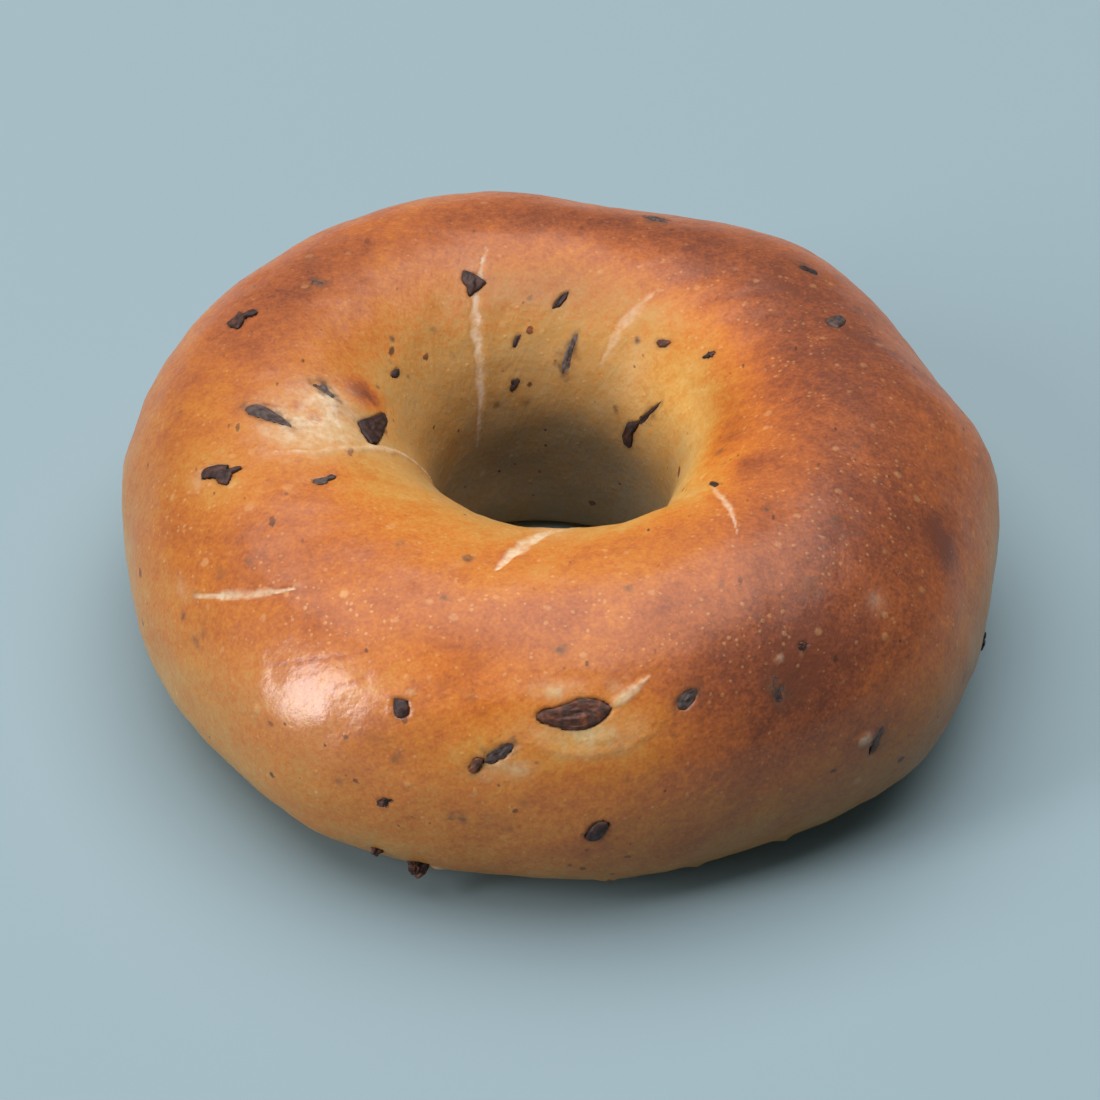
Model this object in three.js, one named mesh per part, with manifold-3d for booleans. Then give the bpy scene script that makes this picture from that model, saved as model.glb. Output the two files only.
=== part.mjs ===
// A round bagel with a hole, baked in one piece, with bits of dried fruit in its crust.
// Millimetres, +Z up. The bagel lies on z = 0 with the middle of its outline above the origin.
//
// A place on the crust is two angles in degrees:
//   around  goes anticlockwise seen from above, from 0 at +X; the front is 270
//   up      goes round the section of the ring: 0 the outermost line, 90 the top,
//           180 the wall of the hole, 270 the underside

import * as THREE from "three";
import { mergeVertices } from "three/addons/utils/BufferGeometryUtils.js";
import Module from "manifold-3d";

// ---------------------------------------------------------------- driving dimensions

const RING = {
  centreline: 34.3, // radius of the circle that the rolled dough follows
  halfWidth: 19.7, // from the centreline to the outermost line, and to the hole
  crown: 19.2, // rise of the top above the centreline
  belly: 16.6, // depth of the rounded underside below it, before the tray flattens it
  base: 15.6, // depth of the flat that it lies on
  squareness: 2.5, // how full the lower outside is: 2 is an ellipse
  holeSquareness: 3.4, // how full the lower wall of the hole is
};
const RING_STEPS = { around: 80, up: 32 };

// Slow unevenness, as sizes in mm of one or two lobes per turn and the side that they lean to.
const CENTRELINE_WAVES = [
  { lobes: 1, size: 1.6, towards: 107 },
  { lobes: 2, size: 1.2, towards: 122 },
];
const WIDTH_WAVES = [
  { lobes: 1, size: 0.9, towards: 241 },
  { lobes: 2, size: 0.7, towards: 84 },
];
const HEIGHT_WAVES = [
  { lobes: 1, size: 0.8, towards: 308 },
  { lobes: 2, size: 0.9, towards: 326 },
];

// Rounded swells and dents, where the dough rose unevenly: size in mm, extents in degrees.
const SWELLS = [
  { around: 3, up: 10, size: 1.8, wide: 11, tall: 50 },
  { around: 338, up: 340, size: 0.9, wide: 8, tall: 40 },
  { around: 19, up: 22, size: -1.1, wide: 11, tall: 50 },
  { around: 320, up: 0, size: 2.8, wide: 11, tall: 50 },
  { around: 50, up: 35, size: 1.2, wide: 11, tall: 45 },
  { around: 80, up: 50, size: -1.5, wide: 13, tall: 40 },
  { around: 110, up: 50, size: 0.4, wide: 14, tall: 40 },
  { around: 188, up: 0, size: -1.0, wide: 9, tall: 50 },
  { around: 238, up: 340, size: 1.5, wide: 11, tall: 50 },
  { around: 266, up: 320, size: -0.6, wide: 9, tall: 50 },
  { around: 290, up: 330, size: -0.8, wide: 9, tall: 50 },
  { around: 344, up: 188, size: 2.3, wide: 30, tall: 50 },
  { around: 90, up: 215, size: 1.6, wide: 45, tall: 35 },
];

// Bits of fruit. The size is length, width and thickness in mm, heading is the direction of the
// length in degrees from "around" towards "up", and proud is how far the bit stands out of the
// crust. A taper above 0 makes one end narrower, down to a point at 1.
const FRUIT = [
  // the front
  { name: "front_slit", around: 272, up: 43, size: [8.8, 3.8, 3.0], heading: 7, proud: 0.5 },
  { name: "front_split_left", around: 259.6, up: 24, size: [2.5, 2.3, 1.8], heading: 20, proud: 0.5 },
  { name: "front_split_right", around: 262.8, up: 29.5, size: [3.0, 2.0, 1.7], heading: 45, proud: 0.4 },
  { name: "front_square", around: 249, up: 37.5, size: [2.2, 2.0, 1.4], heading: 15, proud: 0.3 },
  { name: "front_veiled", around: 287, up: 43, size: [3.0, 2.1, 1.6], heading: 40, proud: 0.2 },
  { name: "front_low", around: 274, up: 1, size: [3.6, 2.1, 1.8], heading: 35, proud: 0.4 },
  { name: "front_low_sliver", around: 249, up: 4, size: [2.1, 0.9, 0.9], heading: 28, proud: 0.2 },
  { name: "front_foot", around: 252, up: 327, size: [3.2, 2.5, 3.4], heading: 70, proud: 1.6, taper: 0.3 },
  { name: "front_foot_sliver", around: 247, up: 335, size: [1.9, 1.0, 1.2], heading: 10, proud: 0.5 },
  // the right
  { name: "right_veiled", around: 300, up: 37, size: [3.2, 2.6, 1.5], heading: 60, proud: 0.1 },
  { name: "right_speck", around: 304, up: 46.5, size: [1.6, 1.1, 0.9], heading: 40, proud: 0.2 },
  { name: "right_low", around: 310, up: 6, size: [2.8, 2.2, 1.4], heading: 60, proud: 0.2 },
  { name: "right_edge", around: 341, up: 349, size: [3.0, 1.6, 2.6], heading: 80, proud: 1.2 },
  { name: "right_rim", around: 321, up: 124, size: [1.8, 1.4, 1.2], heading: 60, proud: 0.2 },
  { name: "right_shoulder", around: 25, up: 78, size: [3.1, 2.3, 1.6], heading: 66, proud: 0.3 },
  { name: "right_back_edge", around: 42, up: 67, size: [2.8, 2.0, 1.4], heading: 35, proud: 0.2 },
  { name: "right_inner_thin", around: 36, up: 127, size: [2.5, 1.1, 1.0], heading: 50, proud: 0.2 },
  { name: "right_inner_brown", around: 55, up: 132, size: [2.5, 1.2, 1.1], heading: 20, proud: 0.2 },
  // the wall of the hole
  { name: "hole_flake", around: 55, up: 169, size: [4.4, 2.5, 1.6], heading: 71, proud: 0.4, taper: 0.5 },
  { name: "hole_flake_tail", around: 49, up: 157.5, size: [3.6, 1.0, 0.9], heading: 57, proud: 0.2 },
  { name: "hole_back_veiled", around: 87, up: 148, size: [5.0, 1.7, 1.2], heading: 75, proud: 0.1 },
  { name: "hole_back_upper", around: 105, up: 142, size: [1.7, 1.2, 1.0], heading: 51, proud: 0.2 },
  { name: "hole_back_lower", around: 108, up: 159, size: [1.9, 1.2, 1.0], heading: 65, proud: 0.2 },
  { name: "hole_left_small", around: 152, up: 133, size: [2.2, 1.3, 1.0], heading: 5, proud: 0.2 },
  { name: "hole_front", around: 262, up: 182, size: [3.8, 1.8, 1.5], heading: 30, proud: 0.3 },
  // the back
  { name: "back_triangle", around: 114, up: 117, size: [4.2, 3.2, 1.8], heading: 98, proud: 0.4, taper: 0.8 },
  { name: "back_small", around: 90, up: 126, size: [2.5, 1.7, 1.4], heading: 58, proud: 0.3 },
  { name: "back_crown", around: 73, up: 71, size: [4.6, 2.4, 1.3], heading: 5, proud: 0.1 },
  { name: "back_side", around: 98, up: 18, size: [5.2, 2.6, 2.2], heading: 350, proud: 0.4 },
  { name: "back_side_small", around: 66, up: 2, size: [2.6, 1.6, 1.3], heading: 60, proud: 0.3 },
  { name: "back_low", around: 131, up: 350, size: [3.4, 2.2, 1.7], heading: 25, proud: 0.4 },
  // the left
  { name: "left_blister_long", around: 187, up: 87, size: [7.4, 2.6, 2.0], heading: 51, proud: 0.3 },
  { name: "left_blister_top", around: 175, up: 108, size: [5.4, 2.6, 1.6], heading: 84, proud: 0.1 },
  { name: "left_rim_triangle", around: 181.5, up: 130, size: [7.4, 4.2, 2.4], heading: 344, proud: 0.5, taper: 0.8 },
  { name: "left_flake", around: 197, up: 66, size: [5.2, 2.6, 1.7], heading: 70, proud: 0.4, taper: 0.4 },
  { name: "left_thin", around: 209, up: 94, size: [2.9, 1.2, 1.0], heading: 86, proud: 0.2 },
  { name: "left_upper", around: 157, up: 70, size: [4.4, 2.6, 1.7], heading: 132, proud: 0.4, taper: 0.3 },
  { name: "left_upper_small", around: 144, up: 88, size: [2.2, 1.7, 1.2], heading: 110, proud: 0.2 },
  { name: "left_side", around: 172, up: 8, size: [4.0, 2.4, 1.8], heading: 40, proud: 0.4 },
  // the underside
  { name: "under_front", around: 292, up: 268, size: [5.6, 3.0, 2.0], heading: 15, proud: -0.15 },
  { name: "under_left", around: 214, up: 276, size: [3.2, 2.4, 1.6], heading: 70, proud: -0.15 },
  { name: "under_back", around: 81, up: 271, size: [4.4, 2.2, 1.8], heading: 120, proud: -0.15 },
];
const POCKET_GAP = 0.3; // between a bit of fruit and the pocket that it lies in
const POCKET_MOUTH = 2.5; // how much further than the bit its pocket reaches outwards
const SMALL_FRUIT = 5; // a bit shorter than this has the coarser surface
const FRUIT_DETAIL = { small: 1, large: 2 };

const crustFinish = { color: 0xb9703c, roughness: 0.45, metalness: 0 };
const fruitFinish = { color: 0x2b1d1a, roughness: 0.4, metalness: 0 };

// ---------------------------------------------------------------- the shape of the dough

const radians = THREE.MathUtils.degToRad;

// Degrees from one angle to another by the shorter way.
function turnBetween(from, to) {
  return THREE.MathUtils.euclideanModulo(to - from + 180, 360) - 180;
}

function wave(lobes, around) {
  return lobes.reduce((sum, w) => sum + w.size * Math.cos(w.lobes * radians(around - w.towards)), 0);
}

function swelling(around, up) {
  return SWELLS.reduce((sum, swell) => {
    const across = turnBetween(around, swell.around) / swell.wide;
    const along = turnBetween(up, swell.up) / swell.tall;
    return sum + swell.size * Math.exp(-(across ** 2) - along ** 2);
  }, 0);
}

// The point of the crust at (around, up).
function crustPoint(around, up) {
  const swell = swelling(around, up);
  const halfWidth = RING.halfWidth + wave(WIDTH_WAVES, around) + swell;
  const crown = RING.crown + wave(HEIGHT_WAVES, around) + swell;
  const outward = Math.cos(radians(up));
  const upward = Math.sin(radians(up));
  let fromCentreline = halfWidth * outward;
  let height = crown * upward;
  if (upward < 0) {
    const power = 2 / (outward > 0 ? RING.squareness : RING.holeSquareness);
    fromCentreline = halfWidth * Math.sign(outward) * Math.abs(outward) ** power;
    height = -RING.belly * Math.abs(upward) ** power;
  }
  const radius = RING.centreline + wave(CENTRELINE_WAVES, around) + fromCentreline;
  return new THREE.Vector3(
    radius * Math.cos(radians(around)),
    radius * Math.sin(radians(around)),
    Math.max(height, -RING.base) + RING.base,
  );
}

function ringGeometry() {
  const ring = new THREE.TorusGeometry(
    RING.centreline, RING.halfWidth, RING_STEPS.up, RING_STEPS.around,
  );
  const points = ring.attributes.position;
  for (let i = 0; i < points.count; i += 1) {
    const [x, y, z] = [points.getX(i), points.getY(i), points.getZ(i)];
    const around = THREE.MathUtils.radToDeg(Math.atan2(y, x));
    const up = THREE.MathUtils.radToDeg(Math.atan2(z, Math.hypot(x, y) - RING.centreline));
    const place = crustPoint(around, up);
    points.setXYZ(i, place.x, place.y, place.z);
  }
  return ring;
}

// ---------------------------------------------------------------- the bits of fruit

// A shrivelled lump with its length along X, grown all round by gap and outwards by mouth.
function fruitGeometry(bit, index, gap = 0, mouth = 0) {
  const [length, width, thickness] = bit.size;
  const detail = length < SMALL_FRUIT ? FRUIT_DETAIL.small : FRUIT_DETAIL.large;
  const lump = new THREE.IcosahedronGeometry(1, detail);
  const points = lump.attributes.position;
  for (let i = 0; i < points.count; i += 1) {
    const [x, y, z] = [points.getX(i), points.getY(i), points.getZ(i)];
    const shrivel = 1
      - 0.07 * (1 + Math.sin(3.1 * x + 4.3 * y + index))
      - 0.04 * (1 + Math.cos(5.2 * y - 2.7 * x + 2 * index));
    const narrow = 1 - (bit.taper ?? 0) * (0.5 + 0.45 * x);
    points.setXYZ(
      i,
      x * (shrivel * length / 2 + gap),
      y * (shrivel * narrow * width / 2 + gap),
      z * (shrivel * thickness / 2 + gap + (z > 0 ? mouth : 0)),
    );
  }
  return lump;
}

// Sets a bit of fruit at its place in the crust, its flat side along the surface.
function place(object, bit) {
  const step = 1;
  const here = crustPoint(bit.around, bit.up);
  const along = crustPoint(bit.around + step, bit.up).sub(crustPoint(bit.around - step, bit.up));
  const across = crustPoint(bit.around, bit.up + step).sub(crustPoint(bit.around, bit.up - step));
  const outward = along.clone().cross(across).normalize();
  const lengthwise = along.normalize().applyAxisAngle(outward, radians(bit.heading));
  const sideways = outward.clone().cross(lengthwise);
  object.quaternion.setFromRotationMatrix(
    new THREE.Matrix4().makeBasis(lengthwise, sideways, outward),
  );
  object.position.copy(here).addScaledVector(outward, bit.proud - bit.size[2] / 2);
  object.updateMatrix();
}

// ---------------------------------------------------------------- cutting the pockets

const wasm = await Module();
wasm.setup();

function solidOf(geometry) {
  const bare = geometry.clone();
  bare.deleteAttribute("normal");
  bare.deleteAttribute("uv");
  const merged = mergeVertices(bare, 1e-3);
  if (!merged.index) throw new Error("the vertices did not merge");
  return new wasm.Manifold(new wasm.Mesh({
    numProp: 3,
    vertProperties: merged.attributes.position.array,
    triVerts: new Uint32Array(merged.index.array),
  }));
}

function geometryOf(solid) {
  const mesh = solid.getMesh();
  const geometry = new THREE.BufferGeometry();
  geometry.setAttribute("position", new THREE.BufferAttribute(mesh.vertProperties, 3));
  geometry.setIndex(new THREE.BufferAttribute(mesh.triVerts, 1));
  geometry.computeVertexNormals();
  return geometry;
}

// ---------------------------------------------------------------- the bagel

function makeFruit(bit, index) {
  const fruit = new THREE.Mesh(
    fruitGeometry(bit, index),
    new THREE.MeshStandardMaterial(fruitFinish),
  );
  fruit.name = `fruit_${bit.name}`;
  place(fruit, bit);
  return fruit;
}

function makeDough() {
  const pockets = FRUIT.map((bit, index) => {
    const pocket = new THREE.Object3D();
    place(pocket, bit);
    const shape = fruitGeometry(bit, index, POCKET_GAP, POCKET_MOUTH);
    return solidOf(shape.applyMatrix4(pocket.matrix));
  });
  const dough = new THREE.Mesh(
    geometryOf(pockets.reduce((ring, pocket) => ring.subtract(pocket), solidOf(ringGeometry()))),
    new THREE.MeshStandardMaterial(crustFinish),
  );
  dough.name = "dough_ring";
  return dough;
}

const bagel = new THREE.Group();
bagel.add(makeDough(), ...FRUIT.map(makeFruit));

// The origin goes under the middle of the outline.
const middle = new THREE.Box3().setFromObject(bagel).getCenter(new THREE.Vector3());
bagel.position.set(-middle.x, -middle.y, 0);

export default bagel;
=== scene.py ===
"""A bagel with bits of dried fruit: the baked crust and the fruit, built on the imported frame."""
import math
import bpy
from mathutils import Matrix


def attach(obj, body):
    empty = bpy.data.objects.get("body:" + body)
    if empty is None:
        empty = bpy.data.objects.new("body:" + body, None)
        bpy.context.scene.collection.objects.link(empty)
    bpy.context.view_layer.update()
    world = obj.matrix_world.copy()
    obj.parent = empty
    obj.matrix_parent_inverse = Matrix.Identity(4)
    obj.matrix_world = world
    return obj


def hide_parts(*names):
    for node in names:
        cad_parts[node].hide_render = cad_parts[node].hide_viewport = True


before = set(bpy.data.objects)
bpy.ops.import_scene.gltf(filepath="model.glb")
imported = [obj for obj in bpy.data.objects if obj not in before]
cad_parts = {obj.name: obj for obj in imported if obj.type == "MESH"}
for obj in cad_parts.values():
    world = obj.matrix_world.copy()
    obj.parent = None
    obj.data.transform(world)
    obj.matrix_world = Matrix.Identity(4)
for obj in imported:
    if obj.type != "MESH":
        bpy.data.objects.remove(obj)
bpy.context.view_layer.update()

from types import SimpleNamespace

import bpy
import numpy as np
from mathutils import Vector, noise
from mathutils.bvhtree import BVHTree

MM = 0.001
# The middle of the rolled ring. Every "around" and "up" below is an angle in degrees about it:
# around runs anticlockwise from +X, with the front at 270; up is 0 outermost, 90 on top,
# 180 on the wall of the hole and 270 underneath.
MIDDLE = Vector((0.26, -0.61, 15.6)) * MM
CENTRELINE = 34.3 * MM
LIFT = Vector((0, 0, 1))


# ---------------------------------------------------------------- camera, floor and lights

CAMERA_ELEVATION = 40  # degrees above the floor
CAMERA_DISTANCE = 450 * MM
CAMERA_LENS = 121.2  # focal length in mm, for a sensor 36 mm wide
TARGET_DROP = 0.6 * MM  # the camera stands round a point this far below the middle of the ring
AIM_LEFT, AIM_DOWN = 1.34 * MM, 3.40 * MM  # and aims this far to the side of it and below it

FLOOR_PAPER = (0.275, 0.365, 0.415, 1)
STUDIO_AIR, AIR_STRENGTH = (0.60, 0.78, 0.81, 1), 0.135
FLOOR_SIZE = 16  # in metres, so that its edge is far off in low views


def set_up_camera():
    elevation = math.radians(CAMERA_ELEVATION)
    backwards = Vector((0, -math.cos(elevation), math.sin(elevation)))
    upwards = Vector((0, math.sin(elevation), math.cos(elevation)))
    target = MIDDLE - LIFT * TARGET_DROP
    aim = target - Vector((AIM_LEFT, 0, 0)) - upwards * AIM_DOWN
    bpy.ops.object.camera_add(location=target + backwards * CAMERA_DISTANCE)
    camera = bpy.context.object
    camera.rotation_euler = (aim - camera.location).to_track_quat("-Z", "Y").to_euler()
    camera.data.sensor_width = 36
    camera.data.lens = CAMERA_LENS
    camera.data.clip_end = 20
    bpy.context.scene.camera = camera


def softbox(name, towards, distance, size, power, colour):
    """An area light of this size, across and down, in the direction towards from the bagel."""
    direction = Vector(towards).normalized()
    bpy.ops.object.light_add(type="AREA", location=MIDDLE + direction * distance)
    light = bpy.context.object
    light.name = name
    light.rotation_euler = direction.to_track_quat("Z", "Y").to_euler()
    light.data.shape = "RECTANGLE"
    light.data.size, light.data.size_y = size
    light.data.energy = power
    light.data.color = colour


def set_up_studio():
    bpy.ops.mesh.primitive_plane_add(size=FLOOR_SIZE)
    floor = bpy.context.object
    floor.name = "studio_floor"
    paint = bpy.data.materials.new("floor_paper")
    paint.use_nodes = True
    shader = paint.node_tree.nodes["Principled BSDF"]
    shader.inputs["Base Color"].default_value = FLOOR_PAPER
    shader.inputs["Roughness"].default_value = 0.9
    shader.inputs["Specular IOR Level"].default_value = 0.1
    floor.data.materials.append(paint)

    world = bpy.data.worlds.new("studio_air")
    bpy.context.scene.world = world
    world.use_nodes = True
    air = world.node_tree.nodes["Background"]
    air.inputs["Color"].default_value = STUDIO_AIR
    air.inputs["Strength"].default_value = AIR_STRENGTH

    softbox("window_left", towards=(-0.84, -0.37, 0.42), distance=1.8, size=(0.42, 1.25),
            power=17, colour=(1, 0.97, 0.94))
    softbox("ceiling", towards=(-0.06, 0.14, 1.0), distance=1.5, size=(2.1, 1.8),
            power=38, colour=(1, 0.985, 0.96))
    bpy.context.scene.view_settings.view_transform = "Standard"


# ---------------------------------------------------------------- small helpers

def only(piece):
    """Selects one object, and nothing else."""
    bpy.ops.object.select_all(action="DESELECT")
    piece.select_set(True)
    bpy.context.view_layer.objects.active = piece


def finish_with(piece, kind, **settings):
    """Adds a modifier with these settings and applies it."""
    only(piece)
    modifier = piece.modifiers.new(kind.lower(), kind)
    for name, value in settings.items():
        setattr(modifier, name, value)
    bpy.ops.object.modifier_apply(modifier=modifier.name)


def points_of(piece):
    flat = np.empty(len(piece.data.vertices) * 3, np.float32)
    piece.data.vertices.foreach_get("co", flat)
    return flat.reshape(-1, 3).astype(float)


def normals_of(piece):
    flat = np.empty(len(piece.data.vertices) * 3, np.float32)
    piece.data.vertex_normals.foreach_get("vector", flat)
    return flat.reshape(-1, 3).astype(float)


def move_points(piece, points):
    piece.data.vertices.foreach_set("co", points.astype(np.float32).ravel())
    piece.data.update()


def angles_of(points):
    """around and up, in degrees, of each point."""
    across, deep, high = (points - np.array(MIDDLE)).T
    around = np.degrees(np.arctan2(deep, across)) % 360
    up = np.degrees(np.arctan2(high, np.hypot(across, deep) - CENTRELINE)) % 360
    return around, up


def between(angle, centre):
    """Degrees from centre to angle by the shorter way."""
    return (angle - centre + 180) % 360 - 180


def patch(around, up, place, size):
    """1 at place, fading to 0 over the size, both (around, up) in degrees."""
    wide = between(around, place[0]) / size[0]
    tall = between(up, place[1]) / size[1]
    return np.exp(-(wide ** 2) - tall ** 2)


def soft_step(values, low, high):
    """From 0 at low to 1 at high, with soft ends."""
    share = np.clip((values - low) / (high - low), 0, 1)
    return share * share * (3 - 2 * share)


def rough_field(points, grain, seed, octaves=3):
    """Smooth noise about 0 whose lumps are about grain across."""
    offset = Vector((seed * 7.3, seed * 3.1, seed * 5.7))
    return np.array([
        noise.fractal(Vector(p) / grain + offset, 1.0, 2.0, octaves) for p in points
    ])


# ---------------------------------------------------------------- the dough

GRID_AROUND, GRID_UP = 168, 96
SECTION_RADIUS = 18 * MM  # of the torus, before it is drawn out
POCKET_REACH = 1.3 * MM  # how near a bit of fruit the CAD ring is taken to be its pocket
FILL_ROUNDS = 600  # how often the filled pockets are levelled with the crust round them
EVEN_ROUNDS = (3, 6)  # how often facets are evened out, along the ring and round its section
# The foot of the far wall of the hole swells inwards: place, size in degrees and how far.
HOLE_FOOT = ((92, 222), (75, 17), 2.7 * MM)


def tree_of(node):
    """A tree to cast rays at the node's mesh."""
    mesh = node.data
    return BVHTree.FromPolygons(
        [v.co for v in mesh.vertices], [tuple(p.vertices) for p in mesh.polygons]
    )


def section_middle(around):
    """The middle of the ring's section at this angle, and the way outwards there."""
    turn = math.radians(around)
    outwards = Vector((math.cos(turn), math.sin(turn), 0))
    return MIDDLE + outwards * CENTRELINE, outwards


def neighbours_mean(reach):
    return sum(np.roll(reach, step, axis) for axis in (0, 1) for step in (-1, 1)) / 4


def dough_reach(fruit_nodes):
    """How far the dough reaches from the middle of its section, over a grid of around and up.
    The pockets for the fruit are filled level with the crust round them, and the foot of the
    hole's far wall is made fuller."""
    ring = tree_of(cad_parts["dough_ring"])
    bits = [tree_of(node) for node in fruit_nodes]
    reach = np.zeros((GRID_AROUND, GRID_UP))
    pocket = np.zeros((GRID_AROUND, GRID_UP), bool)
    for i in range(GRID_AROUND):
        start, outwards = section_middle(360 * i / GRID_AROUND)
        for j in range(GRID_UP):
            turn = 2 * math.pi * j / GRID_UP
            ray = outwards * math.cos(turn) + LIFT * math.sin(turn)
            hit, _, _, distance = ring.ray_cast(start, ray)
            reach[i, j] = distance
            pocket[i, j] = any(bit.find_nearest(hit, POCKET_REACH)[0] for bit in bits)
    wide = pocket.copy()
    for axis in (0, 1):
        wide |= np.roll(pocket, 1, axis) | np.roll(pocket, -1, axis)
    reach[wide] = np.median(reach)
    for _ in range(FILL_ROUNDS):
        reach[wide] = neighbours_mean(reach)[wide]
    for axis, times in enumerate(EVEN_ROUNDS):
        for _ in range(times):
            sides = np.roll(reach, 1, axis) + np.roll(reach, -1, axis)
            reach = reach / 2 + sides / 4
    around, up = np.meshgrid(
        np.arange(GRID_AROUND) * 360 / GRID_AROUND, np.arange(GRID_UP) * 360 / GRID_UP,
        indexing="ij",
    )
    place, size, swell = HOLE_FOOT
    return reach + swell * patch(around, up, place, size)


def make_dough(fruit_nodes):
    """The risen ring before its crust is worked: a torus drawn out to the CAD ring."""
    reach = dough_reach(fruit_nodes)
    bpy.ops.object.select_all(action="DESELECT")
    bpy.ops.mesh.primitive_torus_add(
        major_segments=GRID_AROUND, minor_segments=GRID_UP,
        major_radius=CENTRELINE, minor_radius=SECTION_RADIUS, location=MIDDLE,
    )
    crust = bpy.context.object
    crust.name = "crust"
    bpy.ops.object.transform_apply(location=True, rotation=True, scale=True)
    around, up = angles_of(points_of(crust))
    i = np.rint(around * GRID_AROUND / 360).astype(int) % GRID_AROUND
    j = np.rint(up * GRID_UP / 360).astype(int) % GRID_UP
    turn, rise = np.radians(around), np.radians(up)
    radius = CENTRELINE + reach[i, j] * np.cos(rise)
    points = np.array(MIDDLE) + np.column_stack(
        (radius * np.cos(turn), radius * np.sin(turn), reach[i, j] * np.sin(rise))
    )
    move_points(crust, points)
    finish_with(crust, "SUBSURF", levels=1, render_levels=1)
    rest_on_floor(crust)
    return crust


def rest_on_floor(piece):
    """Flattens what is under the floor up to it."""
    points = points_of(piece)
    points[:, 2] = np.maximum(points[:, 2], 0)
    move_points(piece, points)


# ---------------------------------------------------------------- marks on the crust

# Tears and creases: the path as (around, up), how wide the mark is, how deep (below 0 it is a
# ridge), both in mm, and how much pale dough shows in it (below 0 it is browner instead).
TEARS = [
    dict(path=[(107, 97), (112, 112), (116, 125), (119, 140), (123, 160), (127, 180)],
         wide=1.05, deep=0.12, pale=1.1),
    dict(path=[(65, 116), (70, 130), (75, 148)], wide=1.3, deep=0.06, pale=0.65),
    dict(path=[(212, 34), (216, 41), (221, 50), (226, 60)], wide=0.80, deep=0.16, pale=1.4),
    dict(path=[(257, 96), (260, 109), (263, 120), (267, 131)], wide=1.5, deep=0.2, pale=1.3),
    dict(path=[(264, 118), (268, 127), (272, 138)], wide=1.4, deep=0.15, pale=0.85),
    dict(path=[(306, 92), (311, 105), (315, 116), (320, 125)], wide=0.6, deep=0.06, pale=0.85),
    dict(path=[(183, 162), (191, 137), (198, 118), (200, 102), (197, 88)],
         wide=0.95, deep=-0.20, pale=0.85),
    dict(path=[(276, 43.5), (278.5, 46.5), (282, 52)], wide=0.9, deep=-0.10, pale=1.0),
    dict(path=[(258, 19), (262, 25), (266, 33)], wide=0.6, deep=0.10, pale=0.6),
    dict(path=[(266, 33), (271, 29), (277, 29), (283, 36)], wide=0.8, deep=-0.08, pale=0.2),
    dict(path=[(228, 30), (233, 39), (237.5, 45), (244, 54)], wide=0.50, deep=0.03, pale=-0.15),
    dict(path=[(239, 35), (242, 40), (244, 46)], wide=0.50, deep=0.02, pale=-0.15),
]

# How brown the crust is by height round the section, before the patches.
BAKE_UP = [0, 20, 50, 80, 105, 122, 140, 180, 215, 245, 270, 300, 320, 345, 360]
BAKE = [0.30, 0.46, 0.60, 0.60, 0.50, 0.32, 0.16, 0.10, 0.12, 0.35, 0.55, 0.40, 0.18, 0.22, 0.30]

# In every table of patches: (around, up), size in degrees, and how much is added there.
# Browner patches, and paler ones below 0.
BAKE_PATCHES = [
    ((300, 46), (17, 22), 0.38), ((322, 85), (22, 30), 0.20), ((0, 85), (28, 36), 0.26),
    ((32, 92), (24, 34), 0.28), ((62, 85), (20, 24), 0.23), ((95, 80), (28, 15), 0.22),
    ((150, 72), (20, 18), 0.205), ((216, 64), (9, 13), 0.16), ((232, 58), (11, 9), 0.10),
    ((250, 62), (10, 11), 0.12), ((198, 68), (12, 14), -0.22), ((275, 38), (11, 13), -0.20),
    ((262, 27), (7, 9), -0.14), ((262, 345), (30, 25), 0.20), ((310, 345), (35, 25), 0.14),
    ((352, 136), (24, 11), 0.38), ((275, 92), (20, 12), -0.08), ((252, 56), (14, 12), -0.10),
    ((40, 266), (40, 12), 0.22), ((200, 262), (50, 10), 0.25), ((300, 276), (30, 10), 0.18),
    ((130, 285), (25, 12), 0.15), ((190, 45), (20, 45), -0.03), ((200, 112), (20, 20), -0.10),
    ((186, 102), (12, 16), -0.10), ((170, 123), (5, 8), 0.65), ((209, 105), (6, 20), 0.10),
    ((330, 36), (14, 12), 0.12), ((308, 36), (14, 12), 0.10), ((335, 45), (2.4, 8), 0.26),
    ((331, 116), (6, 8), 0.30), ((338, 42), (5, 9), 0.06), ((187, 106), (2.5, 3), 0.5),
    ((183, 100), (2, 3), 0.4), ((330, 55), (18, 25), 0.16), ((8, 112), (22, 18), 0.20),
    ((302, 18), (16, 16), 0.22), ((345, 158), (30, 10), -0.32), ((288, 0), (25, 25), 0.10),
    ((318, 72), (6, 6), 0.1),
]
# The yellower places, where the crust is thin.
GOLD_PATCHES = [
    ((350, 145), (40, 24), 0.9), ((45, 145), (25, 18), 0.7), ((200, 40), (30, 60), 0.5),
    ((230, 115), (35, 20), 0.6), ((273, 35), (12, 12), 0.7), ((263, 25), (6, 8), 0.5),
    ((256, 48), (18, 14), 1.0), ((255, 350), (30, 20), 0.4), ((300, 130), (30, 18), 0.8),
]
# Where the boiled skin came up in tiny blisters.
BLISTER_PATCHES = [
    ((235, 60), (16, 12), 1.2), ((284, 66), (15, 12), 0.65), ((301, 50), (15, 14), 0.55),
    ((15, 100), (45, 32), 0.5), ((325, 70), (22, 22), 0.55), ((262, 85), (25, 16), 0.6),
    ((200, 45), (16, 25), 0.5), ((0, 272), (1000, 22), 0.8),
]
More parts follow.
